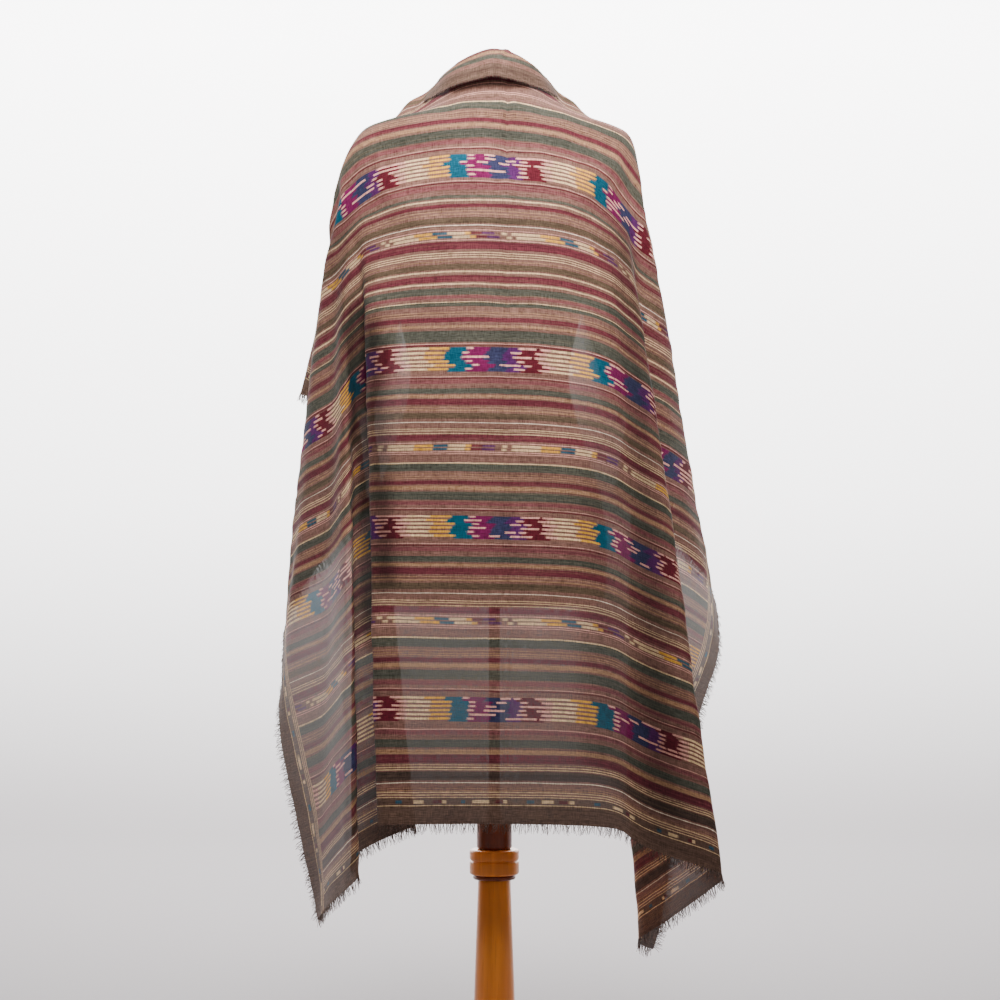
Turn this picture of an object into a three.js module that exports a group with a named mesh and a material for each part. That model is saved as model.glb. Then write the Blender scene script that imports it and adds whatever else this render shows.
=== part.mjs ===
// A square scarf, 1.2 m a side and fringed all round, draped from behind over the shoulders
// of a limbless dress form that stands on a pole, a turned post and a round base.
// Millimetres, +Z up, origin on the floor under the post. The form's chest faces +Y, so the
// scarf's wide back panel faces -Y and its two ends hang in pleats beside and before the form.
import * as THREE from "three";

// ---- driving sizes -------------------------------------------------------------------
const WIDE = 1200; // the cloth across, from one side edge to the other
const LONG = 1175; // and down, from its top edge to its hem
const CELLS_WIDE = 60; // cells across the net that the drape is worked out on
const CELLS_LONG = 40; // and down it
const WALL = 1.6; // thickness of the cloth's wall
const SEAM = 0.3; // gap between neighbouring stretches of cloth
const SLIP_MOST = 9; // the most that a stretch stops short where its seam runs over a fold
const STRIP = { gap: 0.5, wide: 2.4, thick: 1.2 }; // the woven edge that the fringe hangs from
const STRAND = { long: 11, root: 0.3 }; // root is its share of the strip's step
const CLEAR = 5; // gap between the form and the middle of the cloth's wall
const FORM_X = -7; // the form leans a little to the left of the post
const EDGE_X = WIDE / 2;
const CELL_WIDE = WIDE / CELLS_WIDE;
const CELL_LONG = LONG / CELLS_LONG;

// The form, a row for each section: height, half width, half depths behind and before.
const FORM = [
  { z: 716, wide: 158, back: 104, front: 100 },
  { z: 726, wide: 166, back: 110, front: 106 },
  { z: 760, wide: 170, back: 116, front: 110 },
  { z: 811, wide: 170, back: 120, front: 110 },
  { z: 880, wide: 160, back: 114, front: 104 },
  { z: 960, wide: 134, back: 98, front: 94 },
  { z: 1045, wide: 115, back: 88, front: 90 },
  { z: 1120, wide: 128, back: 98, front: 106 },
  { z: 1190, wide: 148, back: 108, front: 122 },
  { z: 1240, wide: 160, back: 113, front: 122 },
  { z: 1290, wide: 176, back: 112, front: 108 },
  { z: 1330, wide: 189, back: 102, front: 92 },
  { z: 1358, wide: 191, back: 88, front: 76 },
  { z: 1376, wide: 183, back: 78, front: 66 },
  { z: 1392, wide: 158, back: 70, front: 60 },
  { z: 1410, wide: 124, back: 63, front: 56 },
  { z: 1428, wide: 86, back: 58, front: 53 },
  { z: 1444, wide: 66, back: 55, front: 51 },
  { z: 1462, wide: 59, back: 53, front: 50 },
  { z: 1484, wide: 57, back: 52, front: 49 },
  { z: 1492, wide: 52, back: 47, front: 44 },
];

// The shoulder points that the pleats fan out from: where they are, and where on the cloth.
const LEFT = { side: -1, x: -205, y: -6, z: 1372, s: 208, t: 165 };
const RIGHT = { side: 1, x: 191, y: -6, z: 1370, s: 200, t: 130 };
const SWELL = 26; // how far the cloth rounds out over a shoulder before it hangs
const SWELL_RUN = 46; // and the length of cloth in which it does so
const PLEAT_RUN = 180; // length of cloth below a shoulder in which the pleats open out
const NECK_LIFT = 50; // how far the neck holds the cloth's middle above its shoulder points
const LIFT_RUN = 150; // and the length of cloth in which that spreads across

// Fold lines of each fan, a row for each: angle on the cloth from straight down towards its
// side edge, then the line's drift out from the form and forward, in mm a metre of cloth, the
// way round the shoulder that it leaves by (-90 behind, 0 outwards, 90 before) and the share
// of its length that lies straight.
const LEFT_FOLDS = [
  { name: "back ridge", angle: -2, out: -38, forward: -108, way: -90, lean: 1, lift: 46 },
  { name: "hidden valley", angle: 2.3, out: -92, forward: -62, way: -84, lean: 1, lift: 44 },
  { name: "second valley", angle: 9, out: -10, forward: -20, way: -76, lean: 1, lift: 22 },
  { name: "flap's front fold", angle: 13.4, out: -19, forward: -90, way: -68, lean: 1, lift: -4 },
  { name: "flap", angle: 17, out: 18, forward: -26, way: -60, lean: 1, lift: -10 },
  { name: "lower corner", angle: 21, out: 35, forward: 43, way: -50, lean: 1, lift: -16 },
  { name: "outline", angle: 28, out: 108, forward: 112, way: -35, lean: 1, lift: -8 },
  { name: "outline, upper", angle: 35, out: 112, forward: 196, way: -20, lean: 1, lift: 0 },
  { name: "front valley", angle: 50, out: -80, forward: 120, way: -5, lean: 1, lift: 0 },
  { name: "front ridge", angle: 66, out: 112, forward: 292, way: 15, lean: 1, lift: 0 },
  { name: "inner valley", angle: 82, out: -75, forward: 268, way: 35, lean: 1, lift: 0 },
  { name: "side corner fold", angle: 98, out: 245, forward: 392, way: 55, lean: 1, lift: 0 },
  { name: "top corner", angle: 113, out: -98, forward: 350, way: 75, lean: 1, lift: 0 },
  { name: "chest", angle: 130, out: -311, forward: 261, way: 90, lean: 0.78, lift: 0 },
  { name: "collarbone", angle: 150, out: -505, forward: 263, way: 90, lean: 0.51, lift: 0 },
  { name: "neck side", angle: 180, out: -679, forward: 206, way: 90, lean: -0.19, lift: 0 },
];
const RIGHT_FOLDS = [
  { name: "back panel", angle: 0, out: 8, forward: -104, way: -90, lean: 1, lift: 44 },
  { name: "back ridge", angle: 8.2, out: 114, forward: -112, way: -80, lean: 1, lift: 8 },
  { name: "hidden valley", angle: 19.2, out: -24, forward: 26, way: -65, lean: 1, lift: -18 },
  { name: "lower corner", angle: 21.2, out: 8, forward: 42, way: -60, lean: 1, lift: -24 },
  { name: "side edge, low", angle: 29.4, out: 112, forward: 118, way: -46, lean: 1, lift: -4 },
  { name: "side edge", angle: 34, out: 150, forward: 178, way: -36, lean: 1, lift: 0 },
  { name: "outline", angle: 39.4, out: 150, forward: 244, way: -24, lean: 1, lift: 0 },
  { name: "front valley", angle: 55, out: -70, forward: 150, way: -4, lean: 1, lift: 0 },
  { name: "front ridge", angle: 70, out: 135, forward: 318, way: 18, lean: 1, lift: 0 },
  { name: "inner valley", angle: 85, out: -75, forward: 296, way: 40, lean: 1, lift: 0 },
  { name: "side corner fold", angle: 99, out: 130, forward: 392, way: 58, lean: 1, lift: 0 },
  { name: "top corner", angle: 110, out: -110, forward: 360, way: 75, lean: 1, lift: 0 },
  { name: "chest", angle: 130, out: -470, forward: 332, way: 90, lean: 0.84, lift: 0 },
  { name: "collarbone", angle: 150, out: -693, forward: 333, way: 90, lean: 0.66, lift: 0 },
  { name: "neck side", angle: 180, out: -861, forward: 262, way: 90, lean: -0.8, lift: 0 },
];

// Middle of the back panel, a row for each height on the cloth: how far behind the post.
const BACK_MIDDLE = [
  { t: 190, y: -96 },
  { t: 260, y: -116 },
  { t: 360, y: -124 },
  { t: 500, y: -128 },
  { t: 800, y: -134 },
  { t: 1200, y: -142 },
];

// The yoke, a row for each place along the top edge: the edge itself, the line on which the
// collar turns over, or on which the cloth crosses the shoulder, and the line where it leaves
// the neck; x is out from the form's middle, t the place on the cloth.
const YOKE = [
  { s: 0, ex: 0, ey: -90, ez: 1454, ft: 62, fx: 0, fy: -66, fz: 1505, nt: 124, nx: 0, ny: -60, nz: 1448 },
  { s: 46, ex: 50, ey: -78, ez: 1453, ft: 53, fx: 43, fy: -52, fz: 1495, nt: 112, nx: 45, ny: -40, nz: 1443 },
  { s: 80, ex: 84, ey: -48, ez: 1457, ft: 32, fx: 66, fy: -24, fz: 1470, nt: 90, nx: 68, ny: -12, nz: 1435 },
  { s: 100, ex: 92, ey: -24, ez: 1463, ft: 24, fx: 80, fy: -10, fz: 1454, nt: 80, nx: 90, ny: -4, nz: 1428 },
  { s: 120, ex: 98, ey: -2, ez: 1451, ft: 24, fx: 98, fy: -8, fz: 1437, nt: 76, nx: 110, ny: -12, nz: 1421 },
  { s: 150, ex: 92, ey: 18, ez: 1432, ft: 30, fx: 106, fy: -2, fz: 1429, nt: 84, nx: 130, ny: -22, nz: 1412 },
  { s: 178, ex: 87, ey: 39, ez: 1415, ft: 42, fx: 115, fy: 8, fz: 1418, nt: 96, nx: 150, ny: -20, nz: 1402 },
  { s: 208, ex: 87, ey: 57, ez: 1394, ft: 60, fx: 135, fy: 30, fz: 1399, nt: 108, nx: 173, ny: 4, nz: 1391 },
];

// Stretches of the cloth, each a piece of its own: first and last grid line across the scarf.
const STRETCHES = [
  { name: "scarf_left_front", from: 0, to: 11 },
  { name: "scarf_left_side", from: 11, to: 21 },
  { name: "scarf_back", from: 21, to: 39 },
  { name: "scarf_right_side", from: 39, to: 51 },
  { name: "scarf_right_front", from: 51, to: 60 },
];

const ACROSS = CELLS_WIDE + 1;
const DOWN = CELLS_LONG + 1;
const radians = (degrees) => (degrees * Math.PI) / 180;
const mix = (a, b, f) => a + (b - a) * f;
const clamp = (value, low, high) => Math.min(high, Math.max(low, value));
const smooth = (f) => f * f * (3 - 2 * f);

/** Value of a column at a place along a table, on a smooth curve through its rows. */
function along(rows, by, column, place, slack = 0.5) {
  const last = rows.length - 1;
  const at = clamp(place, rows[0][by], rows[last][by]);
  let i = 0;
  while (i < last - 1 && at > rows[i + 1][by]) i += 1;
  const from = rows[i];
  const to = rows[i + 1];
  const before = rows[Math.max(i - 1, 0)];
  const after = rows[Math.min(i + 2, last)];
  const span = to[by] - from[by];
  const f = (at - from[by]) / span;
  const leave = (slack * span * (to[column] - before[column])) / (to[by] - before[by]);
  const arrive = (slack * span * (after[column] - from[column])) / (after[by] - from[by]);
  const f2 = f * f;
  const f3 = f2 * f;
  return (
    (2 * f3 - 3 * f2 + 1) * from[column] +
    (f3 - 2 * f2 + f) * leave +
    (3 * f2 - 2 * f3) * to[column] +
    (f3 - f2) * arrive
  );
}

/** A point of a fan: the cloth's own distance and angle from the shoulder point. */
function fanPoint(shoulder, folds, distance, angle) {
  const out = along(folds, "angle", "out", angle) / 1000;
  const forward = along(folds, "angle", "forward", angle) / 1000;
  const way = radians(along(folds, "angle", "way", angle));
  const lean = along(folds, "angle", "lean", angle);
  const lift = along(folds, "angle", "lift", angle) * (1 - Math.exp(-distance / LIFT_RUN));
  const swell = SWELL * (1 - Math.exp(-distance / SWELL_RUN));
  const open = distance * smooth(clamp(distance / PLEAT_RUN, 0, 1));
  const leaves = clamp((angle - 112) / 18, 0, 1);
  const run = mix(open, distance, leaves);
  const dx = swell * Math.cos(way) + out * run;
  const dy = swell * Math.sin(way) + forward * run;
  const flat = Math.hypot(dx, dy);
  const spare = Math.sqrt(Math.max(distance ** 2 - flat ** 2, (0.2 * distance) ** 2));
  return [shoulder.x + shoulder.side * dx, shoulder.y + dy, shoulder.z - lean * spare + lift];
}

/** A point of the back panel, between the two fans. */
function backPoint(s, t) {
  const leftRay = LEFT_FOLDS[0].angle;
  const down = Math.max(t - LEFT.t, 0);
  const leftS = -LEFT.s - down * Math.tan(radians(leftRay));
  const across = clamp((s - leftS) / (RIGHT.s - leftS), 0, 1);
  const left = fanPoint(LEFT, LEFT_FOLDS, down / Math.cos(radians(leftRay)), leftRay);
  const right = fanPoint(RIGHT, RIGHT_FOLDS, down, 0);
  const middle = along(BACK_MIDDLE, "t", "y", t);
  const lag = middle - (left[1] + right[1]) / 2;
  const belly = Math.sin(Math.PI * across) ** 0.8;
  const rise = NECK_LIFT * Math.exp(-down / LIFT_RUN) * Math.sin(Math.PI * across) ** 0.7;
  return [
    mix(left[0], right[0], across),
    mix(left[1], right[1], across) + lag * belly,
    mix(left[2], right[2], across) + rise,
  ];
}

/** A point of the yoke: from the top edge over its turn or crest to the back panel. */
function yokePoint(s, t) {
  const shoulder = s < 0 ? LEFT : RIGHT;
  const folds = s < 0 ? LEFT_FOLDS : RIGHT_FOLDS;
  const at = Math.abs(s);
  const column = (name) => along(YOKE, "s", name, at);
  const sideX = (name) => FORM_X + shoulder.side * column(name);
  const meet = mix(LEFT.t, shoulder.t, smooth(clamp(at / 150, 0, 1)));
  const end = backPoint(s, meet);
  const stations = [
    { t: 0, x: sideX("ex"), y: column("ey"), z: column("ez") },
    { t: column("ft"), x: sideX("fx"), y: column("fy"), z: column("fz") },
    { t: column("nt"), x: sideX("nx"), y: column("ny"), z: column("nz") },
    { t: Math.max(meet, column("nt") + 20), x: end[0], y: end[1], z: end[2] },
  ];
  return ["x", "y", "z"].map((axis) => along(stations, "t", axis, t, 0.8));
}

/** First guess of where the cloth's point (s across, t down from the top edge) hangs. */
function guess(s, t) {
  const shoulder = s < 0 ? LEFT : RIGHT;
  const folds = s < 0 ? LEFT_FOLDS : RIGHT_FOLDS;
  const beside = Math.abs(s) - shoulder.s;
  const below = t - shoulder.t;
  const angle = (Math.atan2(beside, below) * 180) / Math.PI;
  if (beside >= 0 || (below > 0 && angle >= folds[0].angle)) {
    return fanPoint(shoulder, folds, Math.hypot(beside, below), angle);
  }
  return below >= 0 ? backPoint(s, t) : yokePoint(s, t);
}

/** Half width and half depth of the form at a height. */
function formAt(z, y) {
  const column = y < 0 ? "back" : "front";
  return [along(FORM, "z", "wide", z, 1), along(FORM, "z", column, z, 1)];
}

/** How far out of the form a point is, as a share of the section's size. */
function formLevel(x, y, z) {
  const [wide, deep] = formAt(z, y);
  return Math.hypot((x - FORM_X) / wide, y / deep) - 1;
}

/** Moves a point that is too near the form straight out of it. */
function clearOfForm(points, at) {
  const x = points[at];
  const y = points[at + 1];
  const z = points[at + 2];
  if (z > FORM[FORM.length - 1].z + CLEAR || z < FORM[0].z) return;
  const level = formLevel(x, y, z);
  if (level > 0.3) return;
  const step = 1;
  const gx = (formLevel(x + step, y, z) - formLevel(x - step, y, z)) / (2 * step);
  const gy = (formLevel(x, y + step, z) - formLevel(x, y - step, z)) / (2 * step);
  const gz = (formLevel(x, y, z + step) - formLevel(x, y, z - step)) / (2 * step);
  const slope = Math.hypot(gx, gy, gz) + 1e-9;
  const short = CLEAR - level / slope;
  if (short <= 0) return;
  points[at] += (short * gx) / slope;
  points[at + 1] += (short * gy) / slope;
  points[at + 2] += (short * gz) / slope;
}

/** Pulls two points towards their distance on the flat cloth: hard when apart, softly when near. */
function draw(points, a, b, rest, pull, push) {
  const dx = points[b] - points[a];
  const dy = points[b + 1] - points[a + 1];
  const dz = points[b + 2] - points[a + 2];
  const length = Math.hypot(dx, dy, dz) + 1e-9;
  const share = (0.5 * (length > rest ? pull : push) * (length - rest)) / length;
  points[a] += dx * share;
  points[a + 1] += dy * share;
  points[a + 2] += dz * share;
  points[b] -= dx * share;
  points[b + 1] -= dy * share;
  points[b + 2] -= dz * share;
}

// The links of the cloth's grid: steps across and down, and how hard each pulls and pushes.
const LINKS = [
  { across: 1, down: 0, pull: 1, push: 0.06 },
  { across: 0, down: 1, pull: 1, push: 0.06 },
  { across: 1, down: 1, pull: 0.4, push: 0.02 },
  { across: -1, down: 1, pull: 0.4, push: 0.02 },
  { across: 2, down: 0, pull: 0.3, push: 0.06 },
  { across: 0, down: 2, pull: 0.3, push: 0.06 },
];
const ROUNDS = 160; // times that the whole net is drawn to length
const HOLD = 0.035; // how firmly each point stays near its first guess
const COLLAR_HOLD = 0.3; // and the collar's points, which stand in two layers,
const COLLAR_LONG = 100; // as far down
const COLLAR_WIDE = 140; // and out to each side as this

/** The drape: the first guess, drawn to the cloth's own lengths and clear of the form. */
function drape() {
  const count = ACROSS * DOWN;
  const start = new Float64Array(count * 3);
  const hold = new Float64Array(count);
  for (let j = 0; j < DOWN; j += 1) {
    for (let i = 0; i < ACROSS; i += 1) {
      const s = i * CELL_WIDE - EDGE_X;
      const t = j * CELL_LONG;
      const at = j * ACROSS + i;
      start.set(guess(s, t), at * 3);
      hold[at] = t < COLLAR_LONG && Math.abs(s) < COLLAR_WIDE ? COLLAR_HOLD : HOLD;
    }
  }
  const points = start.slice();
  for (let round = 0; round < ROUNDS; round += 1) {
    for (let k = 0; k < count * 3; k += 1) {
      points[k] += hold[Math.floor(k / 3)] * (start[k] - points[k]);
    }
    for (const link of LINKS) drawLinks(points, link);
    for (let at = 0; at < count * 3; at += 3) clearOfForm(points, at);
  }
  return points;
}

/** Draws every link of one kind to its length, in two turns so that no two share a point. */
function drawLinks(points, link) {
  const rest = Math.hypot(link.across * CELL_WIDE, link.down * CELL_LONG);
  for (let turn = 0; turn < 2; turn += 1) {
    for (let j = 0; j + link.down < DOWN; j += 1) {
      for (let i = 0; i < ACROSS; i += 1) {
        const next = i + link.across;
        const lane = link.down ? Math.floor(j / link.down) : Math.floor(i / link.across);
        if (lane % 2 !== turn || next < 0 || next >= ACROSS) continue;
        const a = (j * ACROSS + i) * 3;
        const b = ((j + link.down) * ACROSS + next) * 3;
        draw(points, a, b, rest, link.pull, link.push);
      }
    }
  }
}

const CLOTH_POINTS = drape();

/** The draped cloth's point on a line across and a line down, either of them between lines. */
function clothAt(u, v) {
  const i = Math.min(Math.floor(u), ACROSS - 2);
  const j = Math.min(Math.floor(v), DOWN - 2);
  const place = new THREE.Vector3();
  for (const [di, dj] of [[0, 0], [1, 0], [0, 1], [1, 1]]) {
    const share = (di ? u - i : 1 - (u - i)) * (dj ? v - j : 1 - (v - j));
    const at = ((j + dj) * ACROSS + i + di) * 3;
    place.x += CLOTH_POINTS[at] * share;
    place.y += CLOTH_POINTS[at + 1] * share;
    place.z += CLOTH_POINTS[at + 2] * share;
  }
  return place;
}

/** Mean of the directions out of the cloth's four cells at a crossing: short where it folds. */
function facing(i, j) {
  const out = new THREE.Vector3();
  const here = clothAt(i, j);
  const spokes = [[1, 0], [0, -1], [-1, 0], [0, 1]];
  const inside = (a, b) => a >= 0 && a < ACROSS && b >= 0 && b < DOWN;
  let count = 0;
  spokes.forEach(([di, dj], k) => {
    const [ei, ej] = spokes[(k + 1) % 4];
    if (!inside(i + di, j + dj) || !inside(i + ei, j + ej)) return;
    const first = clothAt(i + di, j + dj).sub(here);
    const second = clothAt(i + ei, j + ej).sub(here);
    out.add(first.cross(second).normalize());
    count += 1;
  });
  return out.divideScalar(count);
}

const clothOut = (i, j) => facing(i, j).normalize();

/** A closed mesh from points and faces. */
function closedMesh(name, points, faces, material) {
  const geometry = new THREE.BufferGeometry();
  geometry.setAttribute("position", new THREE.Float32BufferAttribute(points.flat(), 3));
  geometry.setIndex(faces.flat());
  geometry.computeVertexNormals();
  const mesh = new THREE.Mesh(geometry, material);
  mesh.name = name;
  return mesh;
}

/** How far a stretch stops short of its line: half the seam, and more where a fold is sharp. */
function seamSlip(i, j) {
  const sharp = 1 - facing(i, j).length();
  return (SEAM / 2 + SLIP_MOST * sharp) / CELL_WIDE;
}

/** A wall of even thickness through the cloth between two of its lines, closed at its rim. */
function wall(name, from, to, material) {
  const points = [];
  const faces = [];
  const wide = to - from + 1;
  const back = wide * DOWN;
  for (const side of [1, -1]) {
    for (let j = 0; j < DOWN; j += 1) {
      for (let i = from; i <= to; i += 1) {
        const start = i === from && from > 0 ? seamSlip(i, j) : 0;
        const end = i === to && to < CELLS_WIDE ? seamSlip(i, j) : 0;
        const place = clothAt(i + start - end, j);
        place.addScaledVector(clothOut(i, j), (side * WALL) / 2);
        points.push([place.x, place.y, place.z]);
      }
    }
  }
  const quad = (a, b, c, d) => faces.push([a, b, c], [a, c, d]);
  const far = (i, j, k, l) => clothAt(from + i, j).distanceTo(clothAt(from + k, l));
  for (let j = 0; j + 1 < DOWN; j += 1) {
    for (let i = 0; i + 1 < wide; i += 1) {
      const a = j * wide + i;
      const foldsDown = far(i, j, i + 1, j + 1) >= far(i + 1, j, i, j + 1);
      const corners = [a, a + wide, a + wide + 1, a + 1];
      if (!foldsDown) corners.push(corners.shift());
      const [p, q, r, s] = corners;
      quad(p, q, r, s);
      quad(back + p, back + s, back + r, back + q);
    }
  }
  for (let i = 0; i + 1 < wide; i += 1) {
    const low = (DOWN - 1) * wide + i;
    quad(i, i + 1, back + i + 1, back + i);
    quad(low + 1, low, back + low, back + low + 1);
  }
  for (let j = 0; j + 1 < DOWN; j += 1) {
    const a = j * wide;
    const z = a + wide - 1;
    quad(a + wide, a, back + a, back + a + wide);
    quad(z, z + wide, back + z + wide, back + z);
  }
  return closedMesh(name, points, faces, material);
}

const steps = (from, to, count) =>
  Array.from({ length: count + 1 }, (_, i) => mix(from, to, i / count));

const CLOTH_LOOK = new THREE.MeshStandardMaterial({ color: 0x91604f, roughness: 0.85 });
const part = new THREE.Group();
for (const stretch of STRETCHES) {
  part.add(wall(stretch.name, stretch.from, stretch.to, CLOTH_LOOK));
}

/** A fringe along one edge: a narrow strip just past the cloth's rim, with strands out of it. */
function fringe(name, count, lineAt, inwards) {
  const points = [];
  const faces = [];
  const station = (step) => {
    const [u, v] = lineAt(step);
    const rim = clothAt(u, v);
    const out = rim.clone().sub(clothAt(u + inwards[0], v + inwards[1])).normalize();
    const share = Math.max(u % 1, v % 1);
    const across = clothOut(Math.floor(u), Math.floor(v)).multiplyScalar(1 - share);
    if (share) across.addScaledVector(clothOut(Math.ceil(u), Math.ceil(v)), share);
    return { rim, out, across };
  };
  const put = (at, reach, side) => {
    const place = at.rim.clone().addScaledVector(at.out, reach);
    place.addScaledVector(at.across, side);
    return points.push([place.x, place.y, place.z]) - 1;
  };
  const rings = [];
  for (let k = 0; k < count; k += 1) {
    for (const share of [0, STRAND.root]) {
      const at = station(k + share);
      const ring = {};
      ring.inOut = put(at, STRIP.gap, STRIP.thick / 2);
      ring.outOut = put(at, STRIP.gap + STRIP.wide, STRIP.thick / 2);
      ring.outIn = put(at, STRIP.gap + STRIP.wide, -STRIP.thick / 2);
      ring.inIn = put(at, STRIP.gap, -STRIP.thick / 2);
      rings.push(ring);
    }
  }
  const quad = (a, b, c, d) => faces.push([a, b, c], [a, c, d]);
  rings.slice(1).forEach((ring, k) => {
    const last = rings[k];
    quad(last.inOut, last.outOut, ring.outOut, ring.inOut);
    quad(last.inIn, last.inOut, ring.inOut, ring.inIn);
    quad(last.outIn, last.inIn, ring.inIn, ring.outIn);
    if (k % 2) {
      quad(last.outOut, last.outIn, ring.outIn, ring.outOut);
      return;
    }
    const middle = station(k / 2 + STRAND.root / 2);
    const sway = STRAND.long * (0.86 + 0.14 * Math.sin(k * 2.3));
    const tip = put(middle, STRIP.gap + STRIP.wide + sway, 0);
    faces.push([last.outOut, last.outIn, tip], [last.outIn, ring.outIn, tip]);
    faces.push([ring.outIn, ring.outOut, tip], [ring.outOut, last.outOut, tip]);
  });
  const first = rings[0];
  const end = rings[rings.length - 1];
  quad(first.inOut, first.inIn, first.outIn, first.outOut);
  quad(end.outOut, end.outIn, end.inIn, end.inOut);
  return closedMesh(name, points, faces, FRINGE_LOOK);
}

const FRINGE_LOOK = new THREE.MeshStandardMaterial({ color: 0x6a5346, roughness: 0.9 });
part.add(fringe("fringe_hem", CELLS_WIDE, (k) => [k, CELLS_LONG], [0, -0.5]));
part.add(fringe("fringe_top", CELLS_WIDE, (k) => [CELLS_WIDE - k, 0], [0, 0.5]));
part.add(fringe("fringe_left", CELLS_LONG, (k) => [0, k], [0.5, 0]));
part.add(fringe("fringe_right", CELLS_LONG, (k) => [CELLS_WIDE, CELLS_LONG - k], [-0.5, 0]));

/** The form: rings of its sections, closed flat at both ends. */
function torso() {
  const around = 28;
  const points = [];
  const faces = [];
  const heights = [];
  for (let i = 0; i + 1 < FORM.length; i += 1) {
    heights.push(...steps(FORM[i].z, FORM[i + 1].z, FORM[i + 1].z - FORM[i].z > 60 ? 2 : 1).slice(0, -1));
  }
  heights.push(FORM[FORM.length - 1].z);
  for (const z of heights) {
    for (let k = 0; k < around; k += 1) {
      const turn = (2 * Math.PI * k) / around;
      const [wide, deep] = formAt(z, Math.sin(turn));
      points.push([FORM_X + wide * Math.cos(turn), deep * Math.sin(turn), z]);
    }
  }
  for (let j = 0; j + 1 < heights.length; j += 1) {
    for (let k = 0; k < around; k += 1) {
      const a = j * around + k;
      const b = j * around + ((k + 1) % around);
      faces.push([a, b, b + around], [a, b + around, a + around]);
    }
  }
  const low = points.push([FORM_X, 0, heights[0]]) - 1;
  const high = points.push([FORM_X, 0, heights[heights.length - 1]]) - 1;
  const top = (heights.length - 1) * around;
  for (let k = 0; k < around; k += 1) {
    const next = (k + 1) % around;
    faces.push([low, next, k], [high, top + k, top + next]);
  }
  const look = new THREE.MeshStandardMaterial({ color: 0xcdbfa8, roughness: 0.9 });
  return closedMesh("form_torso", points, faces, look);
}
part.add(torso());

// ---- the stand -----------------------------------------------------------------------
const REST = 0.3; // gap between the stand's pieces where one rests on another
const FORM_FOOT = FORM[0].z;
const POLE = { radius: 8, foot: 12.5, cone: 17 };
const BLOCK = { radius: 25.5, low: 361, high: 403 }; // the turned head that grips the pole
const COLLAR_RING = { radius: 36, low: 324, high: 361, groove: 345, deep: 2.5 };
const NECK_RING = { radius: 31, low: 317, high: 324 };
const POST = { top: 23.5, bottom: 33, low: 28, high: 317 };
const BASE = { radius: 172, high: 28, round: 9 };
const SIDES = 24;

/** A turned piece: its outline, radius and height by turns, spun round the post's middle. */
function turned(name, outline, look) {
  const profile = outline.map(([radius, z]) => new THREE.Vector2(radius, z));
  const geometry = new THREE.LatheGeometry(profile, SIDES);
  geometry.rotateX(Math.PI / 2);
  const mesh = new THREE.Mesh(geometry, look);
  mesh.name = name;
  return mesh;
}

const WOOD = new THREE.MeshStandardMaterial({ color: 0xa55f1e, roughness: 0.35 });
const DARK_WOOD = new THREE.MeshStandardMaterial({ color: 0x6e3516, roughness: 0.35 });
const BLACK = new THREE.MeshStandardMaterial({ color: 0x151414, roughness: 0.4, metalness: 0.6 });

part.add(
  turned("stand_pole", [
    [0, BLOCK.high + REST],
    [POLE.foot, BLOCK.high + REST],
    [POLE.foot, BLOCK.high + REST + 5],
    [POLE.radius, BLOCK.high + POLE.cone],
    [POLE.radius, FORM_FOOT - REST],
    [0, FORM_FOOT - REST],
  ], BLACK),
);
part.add(
  turned("stand_block", [
    [0, BLOCK.low + REST],
    [BLOCK.radius, BLOCK.low + REST],
    [BLOCK.radius, BLOCK.high - 3],
    [BLOCK.radius - 3, BLOCK.high],
    [0, BLOCK.high],
  ], DARK_WOOD),
);
part.add(
  turned("stand_collar", [
    [0, COLLAR_RING.low + REST],
    [COLLAR_RING.radius - 4, COLLAR_RING.low + REST],
    [COLLAR_RING.radius, COLLAR_RING.low + 6],
    [COLLAR_RING.radius, COLLAR_RING.groove - 1.5],
    [COLLAR_RING.radius - COLLAR_RING.deep, COLLAR_RING.groove],
    [COLLAR_RING.radius, COLLAR_RING.groove + 1.5],
    [COLLAR_RING.radius, COLLAR_RING.high - 5],
    [COLLAR_RING.radius - 4, COLLAR_RING.high],
    [0, COLLAR_RING.high],
  ], WOOD),
);
part.add(
  turned("stand_neck_ring", [
    [0, NECK_RING.low + REST],
    [NECK_RING.radius - 2, NECK_RING.low + REST],
    [NECK_RING.radius, (NECK_RING.low + NECK_RING.high) / 2],
    [NECK_RING.radius - 2, NECK_RING.high],
    [0, NECK_RING.high],
  ], DARK_WOOD),
);
part.add(
  turned("stand_post", [
    [0, POST.low + REST],
    [POST.bottom, POST.low + REST],
    [mix(POST.bottom, POST.top, 0.45), mix(POST.low, POST.high, 0.5)],
    [POST.top, POST.high],
    [0, POST.high],
  ], WOOD),
);
part.add(
  turned("stand_base", [
    [0, 0],
    [BASE.radius - 3, 0],
    [BASE.radius, 3],
    [BASE.radius, BASE.high - BASE.round],
    [BASE.radius - BASE.round * 0.3, BASE.high - BASE.round * 0.3],
    [BASE.radius - BASE.round, BASE.high],
    [0, BASE.high],
  ], WOOD),
);

export default part;
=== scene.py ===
"""A square fringed scarf of striped, ikat-banded, half-sheer cloth, draped from behind over a
dress form on a turned stand. Metres, +Z up; the form's chest faces +Y."""

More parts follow.
